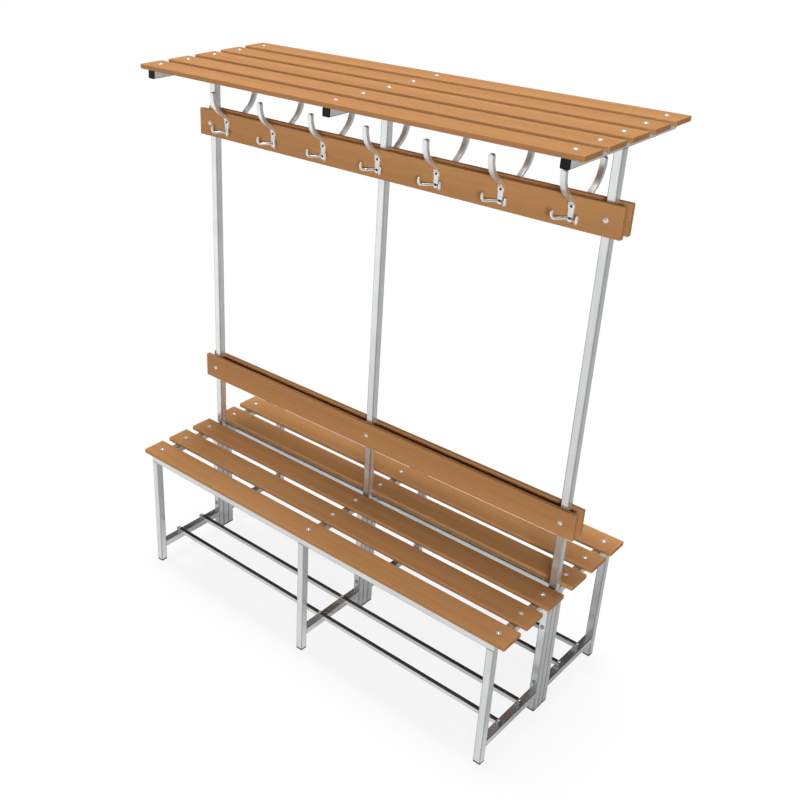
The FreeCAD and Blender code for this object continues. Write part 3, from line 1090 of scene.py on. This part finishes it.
@dataclass
class PlasticFittings:
    """Moulded feet under every leg and post, and plugs in the open tube ends."""

    frames: TubeFrames
    corner: float = 3.0
    ease: float = 0.8
    ease_steps: int = 2
    foot_gap: float = 0.1
    shelf_head: float = 4.0
    shelf_rim: float = 2.2
    shelf_dish: float = 1.0
    wall_slope: float = 0.3
    shoe_head: float = 3.0
    shoe_corner: float = 2.0
    shoe_rim: float = 1.5
    shoe_dish: float = 0.5
    black: Finish = DarkMould()
    grey: Finish = DarkMould(name="moulded_grey_plastic", pale="#5C5E5F", deep="#444647", rough=(0.42, 0.58))

    def cap(self, size: float, height: float, corner: float) -> BMesh:
        """Makes a square cap standing on the origin, rounded on its upright edges and eased round its faces.

        Args:
            size: Its width.
            height: Its height.
            corner: Radius of its upright edges.

        Returns:
            The cap's shape.
        """
        bm = bmesh.new()
        corners = block(bm, (-size / 2, -size / 2, 0), (size / 2, size / 2, height))
        round_over(bm, running(edges_between(corners), Axis.Z), corner, CORNER_STEPS)
        round_over(bm, sharp(bm.edges), self.ease, self.ease_steps)
        return bm

    def dish(self, bm: BMesh, rim: float, depth: float) -> None:
        """Sinks the top of a cap inside a raised rim.

        Args:
            bm: Mesh of the cap.
            rim: Width of the rim.
            depth: How far the top sinks.
        """
        top = face_towards(bm.faces, UP)
        bmesh.ops.inset_region(bm, faces=[top], thickness=rim - self.ease, use_even_offset=True)
        bmesh.ops.inset_region(bm, faces=[top], thickness=self.wall_slope, depth=-depth, use_even_offset=True)

    def build(self) -> list[Object]:
        """Presses the feet and plugs on.

        Returns:
            The pieces.
        """
        frames = self.frames
        half = frames.tube / 2
        lines = (0.0, frames.inner_face - half, frames.outer_face - half)
        across = sorted({sign * y for y in lines for sign in (-1, 1)})
        spots = [facing((place.value, y, 0), UP) for place in Place for y in across]
        feet = repeat(self.cap(frames.tube - self.foot_gap, frames.foot, self.corner), spots, "foot")
        shelf_cap = self.cap(frames.tube, self.shelf_head, self.corner)
        self.dish(shelf_cap, self.shelf_rim, self.shelf_dish)
        height = frames.post_top + half
        spots = [
            facing((place.value, side.value * frames.shelf_tube_half, height), -side.value * OUT)
            for place in Place
            for side in Side
        ]
        shelf_plugs = repeat(shelf_cap, spots, "shelf_plug")
        shoe_cap = self.cap(frames.shoe_tube, self.shoe_head, self.shoe_corner)
        self.dish(shoe_cap, self.shoe_rim, self.shoe_dish)
        height = frames.shoe_low + frames.shoe_tube / 2
        spots = [
            facing((end * frames.shoe_half, side.value * y, height), Vector((end, 0, 0)))
            for end in (-1, 1)
            for side in Side
            for _, y in frames.shoe_lines
        ]
        shoe_plugs = repeat(shoe_cap, spots, "shoe_plug")
        return [
            deliver("foot_caps", feet, Slot.PLASTIC, self.grey),
            deliver("shelf_tube_plugs", shelf_plugs, Slot.PLASTIC, self.black),
            deliver("shoe_bar_plugs", shoe_plugs, Slot.PLASTIC, self.grey),
        ]


@dataclass
class Fasteners:
    """Screws, bolts and nuts, as what stands proud of the boards and tubes.

    Each is given by its width and height. The crown's round, the depths and the nut's chamfer are shares of
    the height, the key and the nut's hole are shares of the width, and the ledge is a share of what the key
    leaves.
    """

    boards: Boards
    frames: TubeFrames
    hooks: CoatHooks
    screw: tuple[float, float] = (16.0, 4.0)
    lip: float = 0.7
    hook_screw: tuple[float, float] = (7.0, 1.5)
    frame_bolt: tuple[float, float] = (14.0, 3.5)
    shoe_bolt: tuple[float, float] = (11.0, 3.0)
    frame_nut: tuple[float, float] = (11.5, 5.0)
    shoe_nut: tuple[float, float] = (9.2, 4.0)
    bolt_heights: tuple[float, float] = (113.0, 327.0)
    dome_steps: int = 6
    round_steps: int = 28
    head_sides: int = 24
    crown_round: float = 0.86
    crown_steps: int = 5
    key: float = 0.26
    key_ledge: float = 0.35
    key_depth: float = 0.5
    key_slope: float = 0.05
    nut_sides: int = 6
    nut_chamfer: float = 0.12
    chamfer_steps: int = 2
    nut_hole: float = 0.2
    hole_depth: float = 0.15
    hole_slope: float = 0.1
    plate: Finish = BrightZinc()
    # A darker zinc tone for the frame bolts and nuts.
    dull: Finish = BrightZinc(name="darker_zinc_plate", pale="#C6C9CD", deep="#A6AAAF", metallic=0.7)
    black: Finish = DarkMould(
        name="blackened_steel", pale="#2B2B2C", deep="#161617", rough=(0.3, 0.46), metallic=0.5
    )

    def dome(self, diameter: float, height: float) -> BMesh:
        """Makes a plain mushroom head standing on the origin: a short lip under a round cap.

        Args:
            diameter: Its width.
            height: Its height.

        Returns:
            The head's shape.
        """
        bm = bmesh.new()
        radius, rise = diameter / 2, height - self.lip
        ball = (radius**2 + rise**2) / (2 * rise)
        foot = bm.verts.new((radius, 0, 0))
        rim = bm.verts.new((radius, 0, self.lip))
        bm.edges.new((foot, rim))
        centre = UP * (height - ball)
        turn = math.asin(radius / ball)
        bmesh.ops.spin(bm, geom=[rim], cent=centre, axis=OUT, angle=turn, steps=self.dome_steps)
        profile = list(bm.verts) + list(bm.edges)
        around = {"cent": (0, 0, 0), "axis": UP, "angle": math.tau, "steps": self.round_steps}
        bmesh.ops.spin(bm, geom=profile, use_merge=True, **around)
        bmesh.ops.remove_doubles(bm, verts=bm.verts, dist=LEVEL)
        bmesh.ops.holes_fill(bm, edges=bm.edges, sides=0)
        return bm

    def prism(self, sides: int, width: float, height: float) -> tuple[BMesh, list[BMEdge]]:
        """Makes an upright prism standing on the origin.

        Args:
            sides: Number of its sides.
            width: Its width over the corners.
            height: Its height.

        Returns:
            The prism and the edges round its top.
        """
        bm = bmesh.new()
        size = {"radius1": width / 2, "radius2": width / 2, "depth": height}
        middle = Matrix.Translation(UP * height / 2)
        bmesh.ops.create_cone(bm, cap_ends=True, segments=sides, matrix=middle, **size)
        return bm, [e for e in bm.edges if all(v.co.z > height - LEVEL for v in e.verts)]

    def head(self, diameter: float, height: float) -> BMesh:
        """Makes a domed head standing on the origin, with a six-sided socket.

        Args:
            diameter: Its width.
            height: Its height.

        Returns:
            The head's shape.
        """
        bm, rim = self.prism(self.head_sides, diameter, height)
        round_over(bm, rim, self.crown_round * height, self.crown_steps)
        crown = face_towards(bm.faces, UP)
        key = self.key * diameter
        flat = max(vert.co.xy.length for vert in crown.verts)
        bmesh.ops.inset_region(bm, faces=[crown], thickness=self.key_ledge * (flat - key))
        for vert in crown.verts:
            turn = math.atan2(vert.co.y, vert.co.x) % SIXTH - SIXTH / 2
            vert.co.xy *= key * math.cos(SIXTH / 2) / math.cos(turn) / vert.co.xy.length
        bmesh.ops.inset_region(bm, faces=[crown], thickness=self.key_slope, depth=-self.key_depth * height)
        return bm

    def nut(self, corners: float, height: float) -> BMesh:
        """Makes a six-sided nut standing on the origin, chamfered, with the bolt's end in its hole.

        Args:
            corners: Its width over the corners.
            height: Its height.

        Returns:
            The nut's shape.
        """
        bm, rim = self.prism(self.nut_sides, corners, height)
        round_over(bm, rim, self.nut_chamfer * height, self.chamfer_steps)
        top = face_towards(bm.faces, UP)
        bmesh.ops.inset_region(bm, faces=[top], thickness=self.nut_hole * corners)
        bmesh.ops.inset_region(bm, faces=[top], thickness=self.hole_slope, depth=-self.hole_depth * height)
        return bm

    def build(self) -> list[Object]:
        """Drives every screw and bolt home.

        Returns:
            The pieces, one for each kind of fastener.
        """
        boards, frames, hooks = self.boards, self.frames, self.hooks
        seat_lines = [y for side in Side for y in boards.seat_lines(side)]
        seat = [facing((p.value, y, boards.seat_top), UP) for p in Place for y in seat_lines]
        shelf = [facing((p.value, y, boards.shelf_top), UP) for p in Place for y in boards.shelf_lines()]
        face = boards.post_face + boards.thickness
        outwards = {side: -side.value * OUT for side in Side}
        backrest = [
            facing((p.value, side.value * face, boards.backrest_middle), outwards[side])
            for p in Place
            for side in Side
        ]
        hook_board = [
            facing((p.value, side.value * face, boards.hook_board_middle), outwards[side])
            for p in (Place.LEFT, Place.RIGHT)
            for side in Side
        ]
        plate_face = hooks.board_face + hooks.thickness
        hook = [
            facing((x, side.value * plate_face, hooks.height + rise), outwards[side])
            for side in Side
            for x in hooks.places(side)
            for rise in (-hooks.screw_spacing / 2, hooks.screw_spacing / 2)
        ]
        clamp = {
            side: [
                facing((p.value, side.value * frames.inner_face, z), outwards[side])
                for p in Place
                for z in self.bolt_heights
            ]
            for side in Side
        }
        crossings = [
            (p.value, side.value * y) for p in Place for side in Side for _, y in frames.shoe_lines
        ]
        bar_tops = [facing((x, y, frames.shoe_low + frames.shoe_tube), UP) for x, y in crossings]
        crossbar_feet = [facing((x, y, frames.crossbar_low), -UP) for x, y in crossings]
        rows = (
            ("seat_screws", self.dome, self.screw, seat, self.plate),
            ("shelf_screws", self.dome, self.screw, shelf, self.plate),
            ("backrest_screws", self.dome, self.screw, backrest, self.plate),
            ("hook_board_screws", self.dome, self.screw, hook_board, self.plate),
            ("hook_screws", self.head, self.hook_screw, hook, self.black),
            ("frame_bolts", self.head, self.frame_bolt, clamp[Side.FRONT], self.dull),
            ("frame_nuts", self.nut, self.frame_nut, clamp[Side.REAR], self.dull),
            ("shoe_bar_bolts", self.head, self.shoe_bolt, bar_tops, self.plate),
            ("shoe_bar_nuts", self.nut, self.shoe_nut, crossbar_feet, self.plate),
        )
        return [
            deliver(node, repeat(shape(*size), places, node), Slot.FASTENER, finish)
            for node, shape, size, places, finish in rows
        ]


@dataclass(frozen=True)
class Lamp:
    """A soft box, with its place, target and sides in metres, its power in watts, and if metal mirrors it."""

    name: str
    place: tuple[float, float, float]
    target: tuple[float, float, float]
    size: tuple[float, float]
    power: float
    mirrored: bool = False

    def hang(self) -> Object:
        """Adds the lamp to the scene.

        Returns:
            The lamp.
        """
        data = bpy.data.lights.new(self.name, "AREA")
        data.shape = "RECTANGLE"
        data.size, data.size_y = self.size
        data.energy = self.power
        lamp = bpy.data.objects.new(self.name, data)
        lamp.visible_glossy = self.mirrored
        lamp.location = self.place
        aim = Vector(self.target) - Vector(self.place)
        lamp.rotation_euler = aim.to_track_quat("-Z", "Y").to_euler()
        bpy.context.scene.collection.objects.link(lamp)
        return lamp


@dataclass
class Studio:
    """Pale floor, soft light and the camera at the photograph's angle."""

    floor_size: float = 60.0
    fill: float = 0.03
    wall: str = "#7C7C7C"
    ceiling: str = "#202020"
    wall_foot: float = 0.0
    wall_head: float = 0.45
    lamps: tuple[Lamp, ...] = (
        Lamp("overhead_soft_box", (-0.6, 1.4, 30.0), (0.0, 0.0, 1.0), (6.0, 6.0), 7200.0, mirrored=True),
        Lamp("front_soft_box", (13.2, -16.2, 5.4), (0.0, 0.0, 1.0), (7.5, 4.5), 3550.0),
        Lamp("left_soft_box", (-3.2, -0.4, 6.5), (0.0, 0.0, 1.0), (1.5, 1.5), 90.0),
        Lamp("rear_soft_box", (-10.0, 18.0, 1.4), (0.0, 0.0, 1.0), (7.5, 4.5), 2800.0),
    )
    eye: tuple[float, float, float] = (1.82688, -2.37416, 2.41583)
    tilt: tuple[float, float, float] = (63.2749, -0.2326, 43.7307)
    sensor: float = 36.0
    lens: float = 47.6363
    shift: tuple[float, float] = (0.15722, -0.03609)

    def floor(self) -> Object:
        """Lays the floor under the bench.

        Returns:
            The floor.
        """
        bm = bmesh.new()
        bmesh.ops.create_grid(bm, x_segments=2, y_segments=2, size=self.floor_size / 2)
        mesh = as_mesh(bm, "studio_floor")
        mesh.materials.append(StudioFloor().material())
        floor = bpy.data.objects.new("studio_floor", mesh)
        bpy.context.scene.collection.objects.link(floor)
        return floor

    def surroundings(self) -> None:
        """White to the eye, an even fill of light, and in reflections grey walls under a dark ceiling."""
        world = bpy.data.worlds.new("white_studio")
        bpy.context.scene.world = world
        world.use_nodes = True
        tree = world.node_tree
        tree.nodes.clear()
        direction = add_node(tree, "ShaderNodeTexCoord").outputs["Generated"]
        height = add_node(tree, "ShaderNodeSeparateXYZ", {0: direction}).outputs[2]
        climb = {"Value": height, "From Min": self.wall_foot, "From Max": self.wall_head}
        rise = add_node(tree, "ShaderNodeMapRange", climb, interpolation_type="SMOOTHSTEP").outputs[0]
        tones = {MIX_SHARE: rise, MIX_FROM: linear(self.wall), MIX_TO: linear(self.ceiling)}
        colour = add_node(tree, "ShaderNodeMix", tones, data_type="RGBA").outputs[MIX_OUT]
        path = add_node(tree, "ShaderNodeLightPath").outputs
        white = (1.0, 1.0, 1.0, 1.0)
        fill = add_node(tree, "ShaderNodeBackground", {"Color": white, "Strength": self.fill}).outputs[0]
        mirrored = add_node(tree, "ShaderNodeBackground", {"Color": colour, "Strength": 1.0}).outputs[0]
        backdrop = add_node(tree, "ShaderNodeBackground", {"Color": white, "Strength": 1.0}).outputs[0]
        bent = add_node(tree, "ShaderNodeMixShader", {0: bent_rays(path), 1: fill, 2: mirrored}).outputs[0]
        looked_at = {0: path["Is Camera Ray"], 1: bent, 2: backdrop}
        seen = add_node(tree, "ShaderNodeMixShader", looked_at).outputs[0]
        add_node(tree, "ShaderNodeOutputWorld", {"Surface": seen})

    def camera(self) -> Object:
        """Sets the camera up where the photograph was taken from.

        Returns:
            The camera.
        """
        data = bpy.data.cameras.new("photo_camera")
        data.sensor_width = self.sensor
        data.lens = self.lens
        data.shift_x, data.shift_y = self.shift
        camera = bpy.data.objects.new("photo_camera", data)
        camera.location = self.eye
        camera.rotation_euler = [math.radians(angle) for angle in self.tilt]
        bpy.context.scene.collection.objects.link(camera)
        bpy.context.scene.camera = camera
        return camera

    def build(self) -> None:
        """Sets up floor, light and camera."""
        self.floor()
        self.surroundings()
        for lamp in self.lamps:
            lamp.hang()
        self.camera()
        bpy.context.scene.view_settings.view_transform = "Standard"


def main() -> None:
    """Builds the bench piece by piece, then the studio around it."""
    logging.basicConfig(level=logging.INFO, format="%(name)s: %(message)s")
    boards, frames, hooks = Boards(), TubeFrames(), CoatHooks()
    sets = [boards, frames, hooks, PlasticFittings(frames), Fasteners(boards, frames, hooks)]
    pieces = [piece for part in sets for piece in part.build()]
    LOG.info("%d pieces stand for %d nodes", len(pieces), len(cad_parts))
    Studio().build()


if __name__ == "__main__":
    main()
